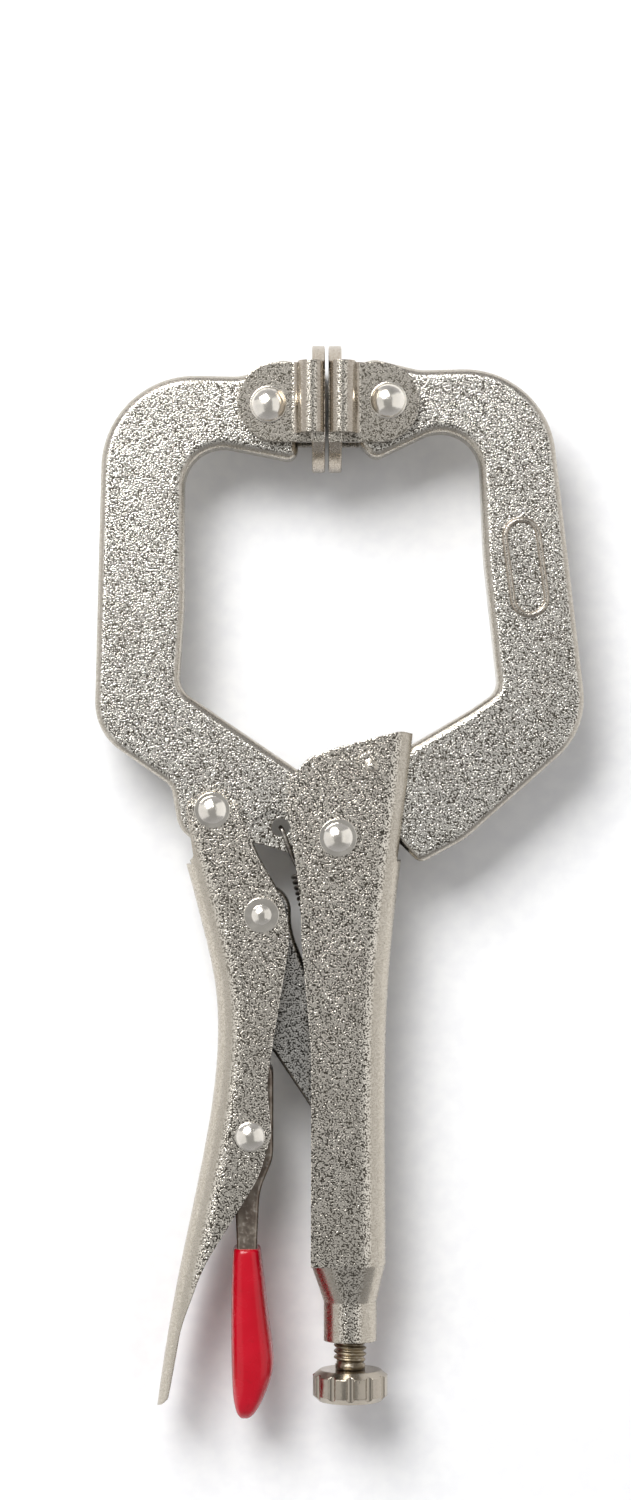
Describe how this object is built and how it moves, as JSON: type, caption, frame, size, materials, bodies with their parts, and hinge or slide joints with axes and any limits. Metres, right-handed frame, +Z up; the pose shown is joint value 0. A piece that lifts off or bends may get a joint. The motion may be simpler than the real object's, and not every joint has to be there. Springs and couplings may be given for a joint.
{
  "type": "locking C-clamp pliers",
  "caption": "Locking C-clamp pliers with swivel pads, folded sheet handles, toggle link, adjusting screw and a red-sleeved release lever.",
  "frame": {"origin": "middle of the tool's outline, on the surface it lies on, where the pads' folds touch", "axes": "+X towards the fixed jaw's side, +Y towards the pads, +Z up, along every pivot axis"},
  "size_m": [0.0754, 0.1655, 0.0188],
  "materials": {
    "forged_nickel": "grainy nickel plate over forged steel",
    "sheet_nickel": "grainy nickel plate over folded sheet",
    "pad_nickel": "grainy nickel plate, slightly warmer",
    "polished_nickel": "polished nickel",
    "screw_steel": "dark oiled steel",
    "lever_steel": "dark nickel plate",
    "spring_steel": "bright spring wire",
    "red_vinyl": "glossy dipped vinyl"
  },
  "bodies": {
    "frame": {"fixed_handle": "sheet_nickel", "fixed_jaw": "forged_nickel", "main_pivot_rivet": "polished_nickel", "fixed_jaw_rivet": "sheet_nickel", "fixed_pad_rivet": "polished_nickel", "return_spring": "spring_steel"},
    "jaw": {"moving_jaw": "forged_nickel", "moving_pad_rivet": "polished_nickel"},
    "handle": {"moving_handle": "sheet_nickel", "handle_pivot_rivet": "polished_nickel", "link_rivet": "polished_nickel", "release_lever_rivet": "polished_nickel"},
    "link": {"toggle_link": "forged_nickel"},
    "lever": {"release_lever": "lever_steel", "release_grip": "red_vinyl"},
    "pad_moving": {"moving_pad": "pad_nickel"},
    "pad_fixed": {"fixed_pad": "pad_nickel"},
    "screw": {"adjusting_screw": "screw_steel"},
    "knob": {"screw_knob": "polished_nickel"}
  },
  "joints": [
    {"name": "jaw_open", "type": "hinge", "parent": "frame", "child": "jaw", "pos_m": [-0.00024, 0.00658, 0.0094], "axis": [0, 0, 1], "range_deg": [0, 34], "deforming": ["return_spring"]},
    {"name": "handle_open", "type": "hinge", "parent": "jaw", "child": "handle", "pos_m": [-0.01954, 0.01077, 0.0094], "axis": [0, 0, 1], "range_deg": [-92.5, 0]},
    {"name": "link_swing", "type": "hinge", "parent": "handle", "child": "link", "pos_m": [-0.01199, -0.00532, 0.0094], "axis": [0, 0, 1], "range_deg": [0, 91.5]},
    {"name": "release_press", "type": "hinge", "parent": "handle", "child": "lever", "pos_m": [-0.01374, -0.03932, 0.0094], "axis": [0, 0, 1], "range_deg": [-7, 0]},
    {"name": "moving_pad_swivel", "type": "hinge", "parent": "jaw", "child": "pad_moving", "pos_m": [-0.01094, 0.07297, 0.0094], "axis": [0, 0, 1], "range_deg": [-20, 20]},
    {"name": "fixed_pad_swivel", "type": "hinge", "parent": "frame", "child": "pad_fixed", "pos_m": [0.00746, 0.07358, 0.0094], "axis": [0, 0, 1], "range_deg": [-20, 20]},
    {"name": "screw_feed", "type": "slide", "parent": "frame", "child": "screw", "axis": [0, -1, 0], "range_m": [0, 0.01488]},
    {"name": "screw_turn", "type": "hinge", "parent": "screw", "child": "knob", "pos_m": [0.00166, -0.07823, 0.0094], "axis": [0, -1, 0], "range_deg": [0, 5761]}
  ],
  "couplings": [
    {"joint": "handle_open", "follows": "jaw_open", "ratio": -2.7059},
    {"joint": "link_swing", "follows": "jaw_open", "ratio": 2.6765},
    {"joint": "moving_pad_swivel", "follows": "jaw_open", "ratio": -0.5},
    {"joint": "fixed_pad_swivel", "follows": "jaw_open", "ratio": 0.5},
    {"joint": "screw_turn", "follows": "screw_feed", "rad_per_m": 6756.1}
  ]
}
